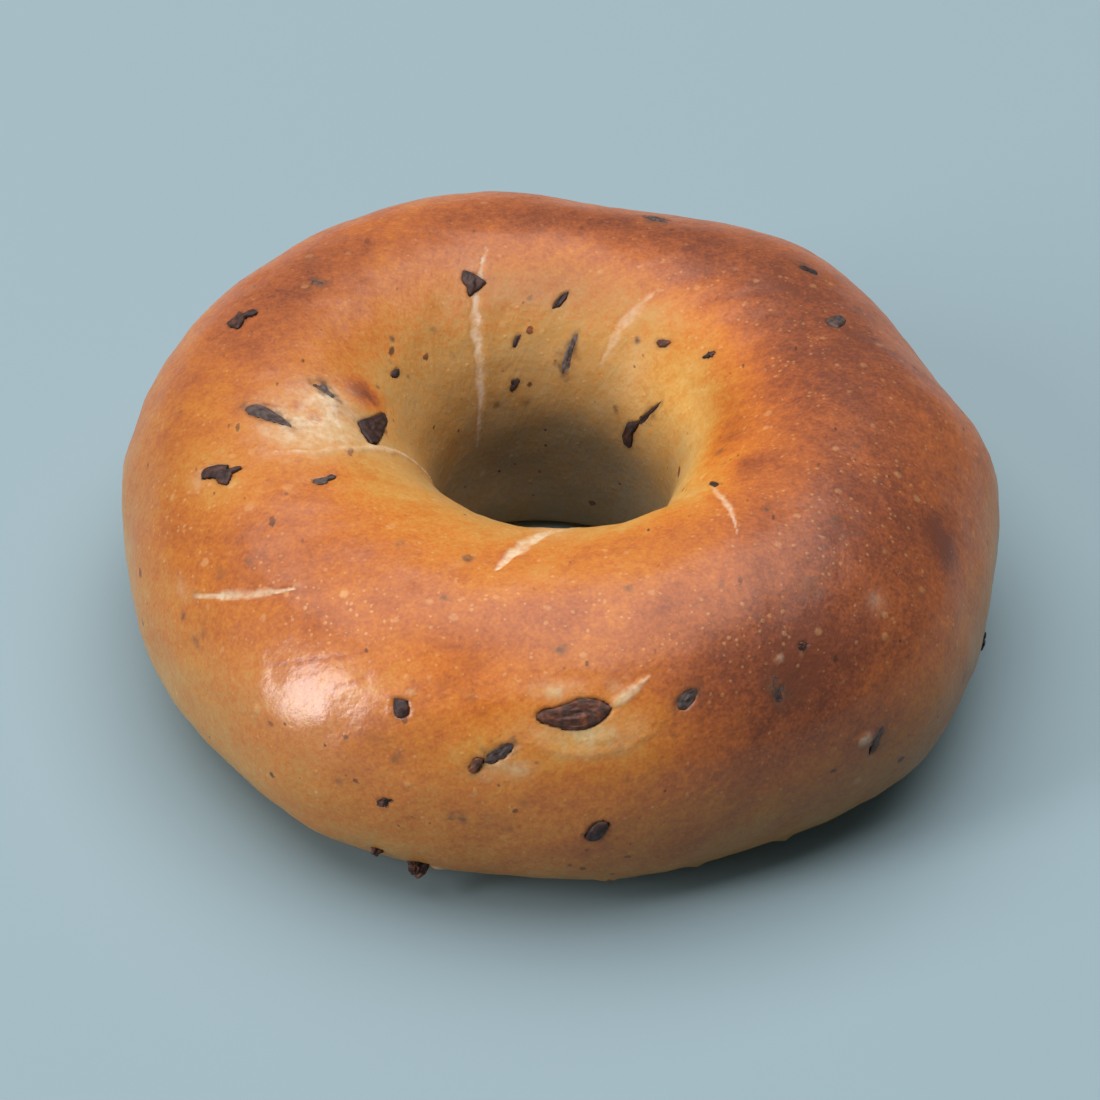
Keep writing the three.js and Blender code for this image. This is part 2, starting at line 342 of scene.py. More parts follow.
# Painted shade: the crust darkened and greyed where light falls off, low on the wall of the hole, low on
# the outside and in a few other places.
PAINTED_SHADE_PATCHES = [
    ((183, 124), (5, 7), 0.25), ((88, 197), (72, 35), 1.0), ((270, 215), (90, 30), 0.5),
    ((188, 40), (30, 45), 0.38), ((92, 117), (28, 13), 0.36), ((140, 88), (30, 22), 0.16),
    ((14, 135), (24, 11), 0.28), ((305, 338), (52, 26), 0.52), ((306, 4), (26, 16), 0.20),
    ((325, 352), (20, 30), 0.25), ((96, 182), (45, 14), 0.35), ((45, 163), (18, 15), -0.40),
]
# Where the skin is grey from the fruit under it.
VEIL_PATCHES = [
    ((181, 114), (3, 4), 0.45), ((190, 97), (3, 4), 0.4), ((300, 37), (3, 8), 0.35),
    ((87, 148), (2, 9), 0.35), ((73, 71), (4, 4), 0.3), ((311, 5), (2, 8), 0.35),
    ((262, 26), (1.5, 3), 0.5), ((247, 25), (1.5, 3), 0.25), ((262, 5), (2, 4), 0.3),
]
# How glossy the skin is: the outside more than the wall of the hole.
GLOSS_UP = [0, 70, 100, 130, 180, 230, 260, 300, 360]
GLOSS = [0.31, 0.31, 0.23, 0.09, 0.05, 0.06, 0.16, 0.24, 0.31]
GLOSS_PATCHES = [
    ((238, 29), (13, 17), 0.69), ((254, 56), (13, 13), -0.31), ((290, 55), (14, 14), -0.16),
    ((228, 74), (14, 10), -0.16), ((322, 62), (20, 28), -0.13),
]
# Skin without colour, over fruit that lies just under it or at the lips of a tear. Above 1 it
# stays pale where the crumbs are thin.
PALE_PATCHES = [
    ((189, 102), (9, 14), 1.6), ((179, 112), (7, 9), 1.25), ((269.0, 49.3), (3.0, 2.6), 1.1),
    ((187, 106), (2.5, 3), -0.5), ((183, 100), (2, 3), -0.45), ((190, 103), (1.5, 2), -0.35),
    ((272.5, 36), (6, 6), 1.25), ((264, 24), (2.4, 3), 1.1), ((261, 20.5), (1.5, 2), 0.6),
    ((210, 33), (2, 3), 0.5), ((196, 58), (1.8, 3), 0.6), ((277, 49), (1.2, 3), 0.4),
    ((317, 48), (1.2, 3), 0.35), ((316, 132), (4, 5), 0.45), ((100, 118), (25, 9), 0.16),
    ((268, 130), (6, 9), 0.55), ((112, 104), (4, 8), 0.3), ((192, 118), (8, 10), 0.35),
]

# Small raised spots: place, radius and height in mm, and how pale.
SPOTS = [
    ((308.7, 10), 0.8, 0.35, 0.9), ((250, 43), 0.5, 0.15, 0.5), ((276, 328), 0.8, 0.5, 0.1),
    ((288, 322), 0.7, 0.4, 0.0), ((301, 322), 0.9, 0.5, 0.2), ((254, 328), 0.9, 0.3, 0.8),
    ((300, 47), 0.4, 0.15, 0.5), ((226, 62), 0.5, 0.2, 0.3),
]

# Small dark smudges of fruit in the skin: place, size in mm, how strong.
SMUDGES = [
    ((138, 68), 0.8, 0.7), ((179, 55), 0.35, 1.4), ((144, 119), 0.4, 1.2), ((130, 124), 0.4, 1.1),
    ((128, 137), 0.35, 1.0), ((150, 125), 0.3, 1.0), ((148, 134), 0.35, 1.0), ((163, 127), 0.3, 1.1),
    ((116, 164), 0.5, 0.8), ((104, 165), 0.6, 0.8), ((99, 122), 0.4, 0.9), ((216, 58), 0.4, 0.9),
    ((214, 47), 0.7, 0.7), ((236, 96), 0.45, 1.2), ((250, 100), 0.6, 1.1), ((250, 79), 0.5, 1.1),
    ((212, 35), 0.5, 0.7), ((66, 164), 0.45, 1.2), ((64, 136), 0.5, 1.4), ((344, 136), 0.7, 0.8),
    ((334, 129), 0.6, 0.8), ((316, 95), 0.55, 1.4), ((322, 76), 0.35, 1.1), ((342, 85), 0.5, 0.7),
    ((354, 75), 0.5, 0.9), ((297, 76), 0.4, 1.0), ((282, 83), 0.55, 1.3), ((284, 32), 0.4, 1.1),
    ((270, 64), 0.7, 1.1), ((346, 19), 0.8, 1.0), ((328, 2), 0.9, 1.0), ((316, 34), 0.4, 0.9),
    ((217, 28), 0.5, 1.0), ((216, 22), 0.6, 0.9), ((212, 25), 0.4, 1.0), ((216, 29), 0.4, 0.9),
    ((250, 20), 0.6, 0.8), ((243, 6), 0.6, 0.7), ((258, 3), 0.9, 1.3), ((264, 1), 0.5, 0.8),
    ((278, 20), 0.5, 0.9), ((277, 30), 0.5, 0.8), ((310, 63), 1.3, 0.5), ((258, 46), 0.5, 0.5),
    ((266, 11), 0.5, 0.6),
]


# Lengths in mm unless they are times MM.
LUMP_GRAIN, LUMP_HIGH = 9 * MM, 0.22
PEBBLE_GRAIN, PEBBLE_HIGH = 2.6 * MM, 0.07
FINE_ROUND_FRUIT, FINE_ROUND_TEAR, FINE_ROUND_SMUDGE = 1.0 * MM, 3 * MM, 0.3  # the finer mesh
TEAR_REACH, FINEST_TEAR = 4 * MM, 0.12 * MM
SEAT_REACH, DEEPEST_SEAT = 5 * MM, 1.2
SEAT_WALL = 0.35  # how far in from the edge of a bit its seat is at full depth
LIP_OUT, LIP_WIDE, LIP_HIGH = 0.55, 0.4, 0.02  # the crust's lip, out from the edge of a bit
EDGE_STAIN, EDGE_STAIN_WIDE = 0.5, 0.38
PALEST = 1.5
RING_TURN, SECTION_TURN = 9, 18.5  # radii of the circles that the grain's noise runs on


def painted(around, up, patches):
    """What a table of patches adds up to at each place."""
    return sum(amount * patch(around, up, place, size) for place, size, amount in patches)


def on_crust(tree, around, up):
    """The place on the crust at these angles, and its normal."""
    start, outwards = section_middle(around)
    rise = math.radians(up)
    hit, normal, _, _ = tree.ray_cast(start, outwards * math.cos(rise) + LIFT * math.sin(rise))
    return hit, normal


def tear_line(tree, path, steps=14):
    """Points close together along a tear, from its start to its end."""
    line = []
    for (a0, u0), (a1, u1) in zip(path, path[1:]):
        for step in range(steps):
            share = step / steps
            line.append(on_crust(tree, a0 + (a1 - a0) * share, u0 + (u1 - u0) * share)[0])
    line.append(on_crust(tree, *path[-1])[0])
    return np.array([list(p) for p in line])


def nearest_on_line(points, line, reach):
    """For each point, its distance to the line and how far along, from 0 to 1, it comes."""
    gap = np.full(len(points), np.inf)
    along = np.zeros(len(points))
    near = np.flatnonzero(
        np.all(points > line.min(0) - reach, 1) & np.all(points < line.max(0) + reach, 1)
    )
    distances = np.linalg.norm(points[near, None, :] - line[None, :, :], axis=2)
    gap[near] = distances.min(1)
    along[near] = distances.argmin(1) / (len(line) - 1)
    return gap, along


def near_marks(points, tree, fruit):
    """True where the crust needs a finer mesh: round the fruit and smudges and along the tears."""
    fine = np.zeros(len(points), bool)
    for bit in fruit:
        fine |= np.linalg.norm(points - bit["place"], axis=1) < bit["reach"] + FINE_ROUND_FRUIT
    for tear in TEARS:
        gap, _ = nearest_on_line(points, tear_line(tree, tear["path"]), FINE_ROUND_TEAR)
        fine |= gap < 1.5 * tear["wide"] * MM
    for place, size, _ in SMUDGES:
        gap = np.linalg.norm(points - on_crust(tree, *place)[0], axis=1)
        fine |= gap < (size + FINE_ROUND_SMUDGE) * MM
    return fine


def refine(crust, fruit):
    """Cuts each face near a mark in four."""
    mesh = crust.data
    tree = tree_of(crust)
    centres = np.empty(len(mesh.polygons) * 3, np.float32)
    mesh.polygons.foreach_get("center", centres)
    fine = near_marks(centres.reshape(-1, 3).astype(float), tree, fruit)
    only(crust)
    bpy.ops.object.mode_set(mode="EDIT")
    bpy.ops.mesh.select_mode(type="FACE")
    bpy.ops.mesh.select_all(action="DESELECT")
    bpy.ops.object.mode_set(mode="OBJECT")
    mesh.polygons.foreach_set("select", fine)
    bpy.ops.object.mode_set(mode="EDIT")
    bpy.ops.mesh.subdivide(number_cuts=1)
    bpy.ops.object.mode_set(mode="OBJECT")
    return tree


def add_field(piece, name, values):
    """Keeps a value for each vertex, which the materials read by name."""
    field = piece.data.attributes.new(name, "FLOAT", "POINT")
    field.data.foreach_set("value", values.astype(np.float32))


def lumps(points):
    """How far the skin stands out of the smooth ring at each point, in mm."""
    clear = soft_step(points[:, 2], 0.2 * MM, 2.5 * MM)  # 0 where it rests on the tray
    rise = rough_field(points, LUMP_GRAIN, 1) * LUMP_HIGH * clear
    return rise + rough_field(points, PEBBLE_GRAIN, 2) * PEBBLE_HIGH * (0.3 + 0.7 * clear)


def open_tear(skin, tree, tear):
    """Sinks a tear between raised lips, ragged and narrowing to both ends."""
    gap, along = nearest_on_line(skin.points, tear_line(tree, tear["path"]), TEAR_REACH)
    width = tear["wide"] * MM * (0.25 + 0.75 * np.sin(math.pi * along)) * skin.ragged
    width = np.maximum(width, FINEST_TEAR)
    middle = np.exp(-(gap / width) ** 2)
    lips = np.exp(-((gap - 1.5 * width) / (0.6 * width)) ** 2)
    skin.rise += tear["deep"] * (0.35 * lips - middle)
    shown = tear["pale"] * np.exp(-(gap / (0.8 * width)) ** 4)
    skin.pale = np.maximum(skin.pale, shown)
    skin.bake -= np.minimum(shown, 0)


def sink_seat(skin, bit):
    """Sinks the crust under a bit of fruit, just inside the bit's outline, and stains its edge."""
    offset = (skin.points - bit["place"]) @ bit["axes"].T
    near = np.flatnonzero(
        (np.linalg.norm(offset[:, :2], axis=1) < bit["reach"] + SEAT_REACH)
        & (np.abs(offset[:, 2]) < SEAT_REACH)
    )
    away = offset[near, :2] - bit["middle"]
    margin = (np.linalg.norm(away, axis=1) - reach_towards(bit["far"], away)) / MM
    patchy = rough_field(skin.points[near], 0.9 * MM, 40 + bit["order"], 2)
    seat = 1 - soft_step(margin, -SEAT_WALL, -0.04)
    if bit["show"] < 1:
        seat *= soft_step(patchy + (2 * bit["show"] - 1) * 0.5 - 0.3 * margin, -0.1, 0.12)
        veil = 1 - soft_step(margin + 0.8 * patchy, -0.2, 1.4)
        skin.stain[near] = np.maximum(skin.stain[near], veil)
    lip = np.exp(-((margin - LIP_OUT) / LIP_WIDE) ** 2) * (0.5 + patchy)
    depth = np.minimum(bit["thick"] / MM * 0.6, DEEPEST_SEAT)
    skin.rise[near] += LIP_HIGH * lip - seat * depth
    skin.pocket[near] = np.maximum(skin.pocket[near], seat)
    edge = np.exp(-(np.maximum(margin, 0) / EDGE_STAIN_WIDE) ** 2) * EDGE_STAIN
    skin.stain[near] = np.maximum(skin.stain[near], edge)


def smudge_skin(skin, tree, place, size, strength):
    """A small dark smudge with an uneven edge."""
    middle = on_crust(tree, *place)[0]
    near = np.flatnonzero(np.linalg.norm(skin.points - middle, axis=1) < 3 * size * MM)
    gap = np.linalg.norm(skin.points[near] - middle, axis=1) / MM
    gap += 0.9 * size * rough_field(skin.points[near], 1.3 * MM, 50, 2)
    smudge = strength * np.exp(-(gap / size) ** 4)
    skin.stain[near] = np.maximum(skin.stain[near], smudge)


def raise_spot(skin, tree, place, wide, high, pale):
    """A small round rise in the skin, paler on top."""
    gap = np.linalg.norm(skin.points - np.array(on_crust(tree, *place)[0]), axis=1) / MM
    skin.rise += high * np.exp(-(gap / wide) ** 2)
    skin.pale = np.maximum(skin.pale, pale * np.exp(-(gap / wide) ** 4))


def add_grain(crust, around, up):
    """The dough was rolled with a twist, so its streaks climb two degrees for each one around.
    They are noise in four dimensions on the circles of the ring and of its twisted section."""
    twist, turn = np.radians(up - 2 * around), np.radians(around)
    grain = np.column_stack((
        RING_TURN * np.cos(turn), RING_TURN * np.sin(turn), SECTION_TURN * np.cos(twist)
    ))
    streak = crust.data.attributes.new("grain", "FLOAT_VECTOR", "POINT")
    streak.data.foreach_set("vector", grain.astype(np.float32).ravel())
    add_field(crust, "grain_turn", SECTION_TURN * np.sin(twist))


def work_crust(crust, fruit):
    """Lumps, tears and seats as real shape, and the fields that the finish reads."""
    tree = refine(crust, fruit)
    points, normals = points_of(crust), normals_of(crust)
    around, up = angles_of(points)
    skin = SimpleNamespace(
        points=points,
        rise=lumps(points),
        ragged=0.75 + 0.5 * rough_field(points, 1.6 * MM, 4, 2),
        pale=painted(around, up, PALE_PATCHES) * (0.75 + 0.5 * rough_field(points, 2 * MM, 3)),
        bake=np.interp(up, BAKE_UP, BAKE) + painted(around, up, BAKE_PATCHES),
        stain=painted(around, up, VEIL_PATCHES),
        pocket=np.zeros(len(points)),
    )
    for tear in TEARS:
        open_tear(skin, tree, tear)
    for bit in fruit:
        sink_seat(skin, bit)
    for smudge in SMUDGES:
        smudge_skin(skin, tree, *smudge)
    for spot in SPOTS:
        raise_spot(skin, tree, *spot)
    move_points(crust, points + normals * skin.rise[:, None] * MM)
    rest_on_floor(crust)

    gloss = np.interp(up, GLOSS_UP, GLOSS) * (1 - 0.8 * np.clip(skin.pale, 0, 1))
    gloss += painted(around, up, GLOSS_PATCHES)
    add_field(crust, "bake", skin.bake)
    add_field(crust, "pale", np.clip(skin.pale, 0, PALEST))
    add_field(crust, "stain", skin.stain)
    add_field(crust, "pocket", skin.pocket)
    add_field(crust, "gloss", np.clip(gloss, 0, 1))
    for name, patches in (("gold", GOLD_PATCHES), ("blisters", BLISTER_PATCHES), ("dim", PAINTED_SHADE_PATCHES)):
        add_field(crust, name, np.clip(painted(around, up, patches), 0, 1))
    add_grain(crust, around, up)


# ---------------------------------------------------------------- the fruit

# Outlines of the larger bits seen square on, in mm from the middle of the bit: first along the
# ring, anticlockwise, and then up the crust.
OUTLINES = {
    "front_slit": [(-4.4, -0.4), (-3.8, 0.2), (-2.4, 0.4), (-1.0, 0.9), (0.3, 1.4), (1.2, 1.5),
                   (2.2, 1.3), (3.0, 1.0), (3.9, 0.3), (3.4, -0.4), (2.6, -1.2), (1.4, -1.8), (0.0, -2.0),
                   (-1.3, -1.9), (-2.6, -1.4), (-3.8, -1.0)],
    "front_split_left": [(-0.5, -0.6), (-0.3, 0.1), (0.1, 0.9), (0.7, 1.0), (1.0, 0.6), (0.7, -0.1),
                         (0.3, -0.8), (-0.1, -0.9)],
    "front_split_right": [(-1.7, -1.3), (-1.3, -0.4), (-0.7, 0.4), (0.1, 0.7), (0.7, 1.1), (1.3, 1.1),
                          (1.3, 0.6), (0.8, 0.0), (0.4, -0.7), (-0.3, -0.9), (-1.0, -1.5)],
    "front_square": [(-0.7, 1.0), (0.0, 1.1), (0.7, 1.1), (1.2, 0.5), (1.3, -0.4), (0.9, -0.8),
                     (0.3, -1.0), (-0.2, -0.7), (-0.5, 0.0)],
    "front_veiled": [(-1.7, -0.4), (-1.2, 0.3), (-0.2, 0.8), (0.7, 0.8), (0.8, 0.3), (0.3, -0.5),
                     (-0.3, -1.1), (-1.0, -1.2), (-1.6, -0.9)],
    "front_low": [(-0.9, -0.8), (-0.7, 0.1), (-0.1, 0.9), (0.6, 1.4), (1.4, 1.3), (1.6, 0.7), (1.1, -0.3),
                  (0.6, -1.1), (-0.2, -1.4), (-0.7, -1.3)],
    "right_veiled": [(-1.9, -1.2), (-1.7, 0.4), (-1.3, 1.6), (-0.8, 1.5), (-0.7, 0.5), (-0.4, -0.6),
                     (-0.9, -1.4)],
    "right_low": [(-0.7, -1.3), (-0.4, 0.0), (0.2, 0.9), (0.8, 1.8), (1.4, 2.0), (1.0, 0.6), (0.3, -0.5)],
    "right_rim": [(-1.0, -1.1), (-0.7, -0.3), (-0.2, 0.7), (0.4, 1.2), (0.5, 0.9), (0.1, -0.2),
                  (-0.4, -1.0)],
    "right_shoulder": [(-1.7, 1.0), (-0.6, 1.7), (0.5, 1.5), (1.0, 0.3), (1.2, -1.0), (0.0, -1.1),
                       (-0.9, -0.3)],
    "right_inner_brown": [(-1.1, -0.4), (-0.7, 0.4), (0.2, 0.7), (0.8, 0.3), (0.7, -0.1), (-0.7, -0.5)],
    "hole_flake": [(0.0, 2.2), (0.4, 2.6), (1.0, 2.4), (1.5, 1.4), (1.2, 0.2), (0.9, -0.9), (0.2, -1.1),
                   (-0.7, -1.6), (-0.4, -0.5), (0.0, 0.3), (-0.1, 1.2)],
    "hole_flake_tail": [(1.2, 2.2), (0.6, 1.1), (0.1, 0.2), (-0.8, -0.9), (-1.4, -1.9), (-1.0, -0.8),
                        (-0.4, 0.4), (0.1, 1.3), (0.7, 2.3)],
    "hole_back_veiled": [(0.2, 2.5), (0.8, 2.3), (1.0, 1.0), (0.6, -0.5), (-0.3, -2.4), (-0.9, -3.0),
                         (-0.6, -1.5), (-0.1, 0.8)],
    "hole_back_upper": [(-0.7, -0.5), (-0.3, 0.2), (0.3, 1.0), (0.6, 0.8), (0.3, 0.1), (-0.1, -0.4)],
    "hole_left_small": [(-1.1, 0.3), (-0.6, 0.8), (0.1, 0.9), (0.7, 0.5), (0.9, 0.1), (0.2, -0.1),
                        (-0.6, 0.1)],
    "back_triangle": [(-2.1, 0.9), (-1.1, 1.5), (-0.2, 1.7), (0.6, 2.1), (0.5, 0.7), (0.8, -0.3),
                      (0.1, -1.5), (-0.6, -1.0), (-1.4, -0.2)],
    "back_small": [(-0.9, -0.9), (-0.7, 0.0), (0.2, 1.1), (1.1, 1.3), (0.9, 0.7), (0.2, -0.3)],
    "left_blister_long": [(-3.0, -2.0), (-2.4, -2.4), (-1.2, -1.9), (-0.4, -0.7), (0.4, 0.2), (1.1, 1.6),
                          (1.9, 2.9), (0.9, 2.3), (0.0, 1.9), (-1.3, 0.8), (-2.4, -0.3), (-2.9, -1.1)],
    "left_blister_top": [(-0.9, 0.1), (-0.6, 0.6), (0.1, 1.0), (0.9, 1.9), (1.3, 1.8), (0.9, 0.6),
                         (0.3, -0.4), (0.1, -1.2), (-0.4, -1.1)],
    "left_rim_triangle": [(-3.7, 1.0), (-2.5, 1.4), (0.0, 0.9), (2.2, 0.2), (4.1, -0.6), (4.5, -1.3),
                          (2.9, -2.4), (1.1, -2.9), (-0.3, -1.9), (-1.9, -0.4)],
    "left_flake": [(-1.9, -1.8), (-1.6, -0.7), (-1.3, 0.1), (-0.5, 1.2), (0.1, 0.8), (0.5, 1.2), (0.6, 2.6),
                   (0.9, 2.6), (1.1, 1.3), (2.4, 0.2), (1.3, -0.7), (0.4, -0.8), (-0.1, -1.3), (-0.7, -2.4),
                   (-1.5, -2.2)],
    "left_thin": [(-0.6, 1.5), (0.0, 1.8), (0.4, 1.4), (0.3, 0.7), (0.9, 0.0), (0.6, -0.9), (-0.1, -1.2),
                  (-0.4, -1.0), (-0.3, 0.0), (-0.2, 0.8)],
    "left_upper": [(-1.3, 1.4), (-0.7, 2.1), (0.0, 1.7), (0.4, 0.9), (1.6, 1.0), (2.6, 0.9), (2.1, -0.5),
                   (1.2, -1.5), (0.1, -0.9), (-1.0, -0.8), (-0.3, 0.1), (-1.0, 0.7)],
}
# How much of a bit shows through the skin, where it isn't all of it.
VEILED = {
    "front_veiled": 0.75, "right_veiled": 0.25, "right_low": 0.45, "hole_back_veiled": 0.02,
    "hole_flake_tail": 0.75, "back_crown": 0.30, "left_blister_top": 0.40, "left_blister_long": 0.70,
    "left_upper_small": 0.25, "right_back_edge": 0.60, "front_split_right": 0.85,
}
# How red-brown the flesh is, and how grey the dry skin on it, from 0 to 1.
PLAIN_RED, PLAIN_GREY = 0.12, 0.1
RED = {"front_slit": 0.8, "front_split_left": 0.8, "front_foot": 0.5, "right_inner_brown": 1.0,
       "left_upper": 0.35, "right_speck": 0.7, "left_flake": 0.25, "front_foot_sliver": 0.6}
GREY = {"front_split_right": 0.35, "left_blister_long": 0.45, "left_thin": 0.5, "left_blister_top": 0.7,
        "right_shoulder": 0.4, "hole_back_veiled": 0.8, "back_crown": 0.7, "front_veiled": 0.5,
        "right_low": 0.5, "right_veiled": 0.5, "left_upper_small": 0.7}

# How far a bit stands out of the crust at most, in mm. From TORN_FROM on it is torn, like a crumb.
STAND_OUT = {"front_foot": 2.0, "front_foot_sliver": 0.9, "front_low_sliver": 0.6, "right_edge": 0.5,
             "left_side": 0.05}
USUAL_STAND_OUT, VEILED_STAND_OUT = 0.45, 0.02
TORN_FROM, TORN_BY = 0.5, 0.45

DIRECTIONS = 90  # how many ways from the middle of a bit its outline is kept for
EDGE_DEPTH = 0.03  # how far the edge of a bit lies below the crust, in mm
FEELER = 4 * MM  # how far above and below a bit the crust is felt for
LARGE_BIT = 1.2 * MM  # bits that reach further than this get a finer mesh


def direction_of(away):
    return np.arctan2(away[:, 1], away[:, 0]) / (2 * math.pi) * DIRECTIONS % DIRECTIONS


def by_direction(places, middle):
    """The furthest that the places reach from the middle, for each direction."""
    away = places - middle
    turn = direction_of(away)
    far = np.zeros(DIRECTIONS)
    np.maximum.at(far, turn.astype(int) % DIRECTIONS, np.linalg.norm(away, axis=1))
    filled = np.flatnonzero(far)
    return np.interp(np.arange(DIRECTIONS), filled, far[filled], period=DIRECTIONS)


def reach_towards(far, away):
    """How far an outline kept by direction reaches towards each place."""
    return np.interp(direction_of(away) - 0.5, np.arange(DIRECTIONS), far, period=DIRECTIONS)


def torn_outline(places, order):
    """The outline of a small bit: that of its CAD lump, with corners."""
    middle = (places.min(0) + places.max(0)) / 2
    turn = np.arange(DIRECTIONS) / DIRECTIONS * 2 * math.pi
    corners = [
        noise.noise(Vector((math.cos(t) * 1.1, math.sin(t) * 1.1, order * 9.1))) for t in turn
    ]
    return middle, by_direction(places, middle) * (0.92 + 0.55 * np.array(corners))


def drawn_outline(corners):
    """The outline of a larger bit, from its corners in mm."""
    corners = np.array(corners) * MM
    after = np.roll(corners, -1, 0)
    shares = np.linspace(0, 1, 40)
    edge = np.concatenate([corners + (after - corners) * share for share in shares])
    middle = (corners.min(0) + corners.max(0)) / 2
    return middle, by_direction(edge, middle)


def measure(node, tree, order):
    """Where a bit of fruit lies on the crust, its outline there, and how thick it is."""
    name = node.name.replace("fruit_", "")
    points = points_of(node)
    around, up = angles_of(points.mean(0)[None, :])
    place, normal = on_crust(tree, float(around[0]), float(up[0]))
    turn = math.radians(float(around[0]))
    across = Vector((-math.sin(turn), math.cos(turn), 0))
    across = (across - normal * across.dot(normal)).normalized()
    climb = normal.cross(across)
    frame_of_bit = np.array([list(across), list(climb), list(normal)])
    local = (points - np.array(place)) @ frame_of_bit.T
    if name in OUTLINES:
        middle, far = drawn_outline(OUTLINES[name])
    else:
        middle, far = torn_outline(local[:, :2], order)
    stand_out = STAND_OUT.get(name, USUAL_STAND_OUT) * MM
    return dict(
        node=node, name=name, place=np.array(place), axes=frame_of_bit, order=order,
        middle=middle, far=far, reach=far.max(), thick=np.ptp(local[:, 2]),
        proud=min(local[:, 2].max(), stand_out), show=VEILED.get(name, 1.0),
    )


def crust_height(tree, bit, flat):
    """How high the crust lies above the plane of a bit, at each place on that plane."""
    across, climb, normal = (Vector(axis) for axis in bit["axes"])
    heights = np.zeros(len(flat))
    for i, (x, y) in enumerate(flat):
        start = Vector(bit["place"]) + across * x + climb * y + normal * FEELER
        hit, _, _, distance = tree.ray_cast(start, -normal, 2 * FEELER)
        heights[i] = FEELER - distance if hit else 0
    return heights


def finer_copy(bit):
    """The CAD lump of a bit as one smooth skin."""
    only(bit["node"])
    bpy.ops.object.duplicate()
    piece = bpy.context.object
    piece.parent = None
    for key in list(piece.keys()):
        del piece[key]
    piece.name = "dried_" + bit["name"]
    bpy.ops.object.mode_set(mode="EDIT")
    bpy.ops.mesh.select_all(action="SELECT")
    bpy.ops.mesh.remove_doubles(threshold=0.001 * MM)
    bpy.ops.object.mode_set(mode="OBJECT")
    levels = 3 if bit["reach"] > LARGE_BIT else 2
    finish_with(piece, "SUBSURF", levels=levels, render_levels=levels)
    return piece


def drawn_out(bit, local):
    """Where each point of the lump comes on the plane of the bit once the lump fills the bit's
    outline, and how far out it is, from 0 in the middle to 1 at the edge."""
    middle = (local[:, :2].min(0) + local[:, :2].max(0)) / 2
    away = local[:, :2] - middle
    lump_far = np.maximum(by_direction(local[:, :2], middle), 0.1 * MM)
    lump_reach = reach_towards(lump_far, away)
    share = np.linalg.norm(away, axis=1) / lump_reach
    away *= (reach_towards(bit["far"], away) / lump_reach)[:, None]
    return bit["middle"] + away, share


def make_bit(bit, tree):
    """One bit of fruit, shrivelled: a finer copy of its CAD lump, drawn out to its outline."""
    piece = finer_copy(bit)
    local = (points_of(piece) - bit["place"]) @ bit["axes"].T
    flat, share = drawn_out(bit, local)

    # a flat top just under the crust at the edge, and the rest of the bit below it
    height = local[:, 2] - (local[:, 2].max() + local[:, 2].min()) / 2
    height /= np.abs(height).max()
    crest = bit["proud"] if bit["show"] == 1 else VEILED_STAND_OUT * MM
    top = (crest + EDGE_DEPTH * MM) * np.clip(height, 0, 1) ** 0.6
    below = (bit["thick"] - crest) * np.clip(-height, 0, 1)
    folds = np.column_stack((flat, 1.5 * local[:, 2])) @ fold_direction(bit)
    wrinkle = rough_field(folds, 0.75 * MM, 20 + bit["order"], 3)
    wrinkle *= 0.20 * MM * (height > -0.2) * (1.15 - np.clip(share, 0, 1))
    level = crust_height(tree, bit, flat)
    level += lumps(bit["place"] + np.column_stack((flat, level)) @ bit["axes"]) * MM
    level += top - below + wrinkle - EDGE_DEPTH * MM
    final = bit["place"] + np.column_stack((flat, level)) @ bit["axes"]
    if STAND_OUT.get(bit["name"], 0) >= TORN_FROM:
        torn = np.column_stack([rough_field(final, 1.1 * MM, 70 + i, 3) for i in range(3)])
        final += torn * TORN_BY * MM
    move_points(piece, final)

    add_field(piece, "red", np.full(len(final), RED.get(bit["name"], PLAIN_RED)))
    add_field(piece, "grey", np.full(len(final), GREY.get(bit["name"], PLAIN_GREY)))
    piece.data.materials.clear()
    bpy.ops.object.shade_smooth()
    return piece


def fold_direction(bit):
    """Turns places to the bit's longer way and squeezes them along it, so that folds run that way."""
    widest = np.argmax(bit["far"]) / DIRECTIONS * 2 * math.pi
    along, sideways = math.cos(widest), math.sin(widest)
    turned = np.array([[along, -sideways, 0], [sideways, along, 0], [0, 0, 1]])
    return turned @ np.diag([0.4, 1.0, 1.0])


# ---------------------------------------------------------------- finishes

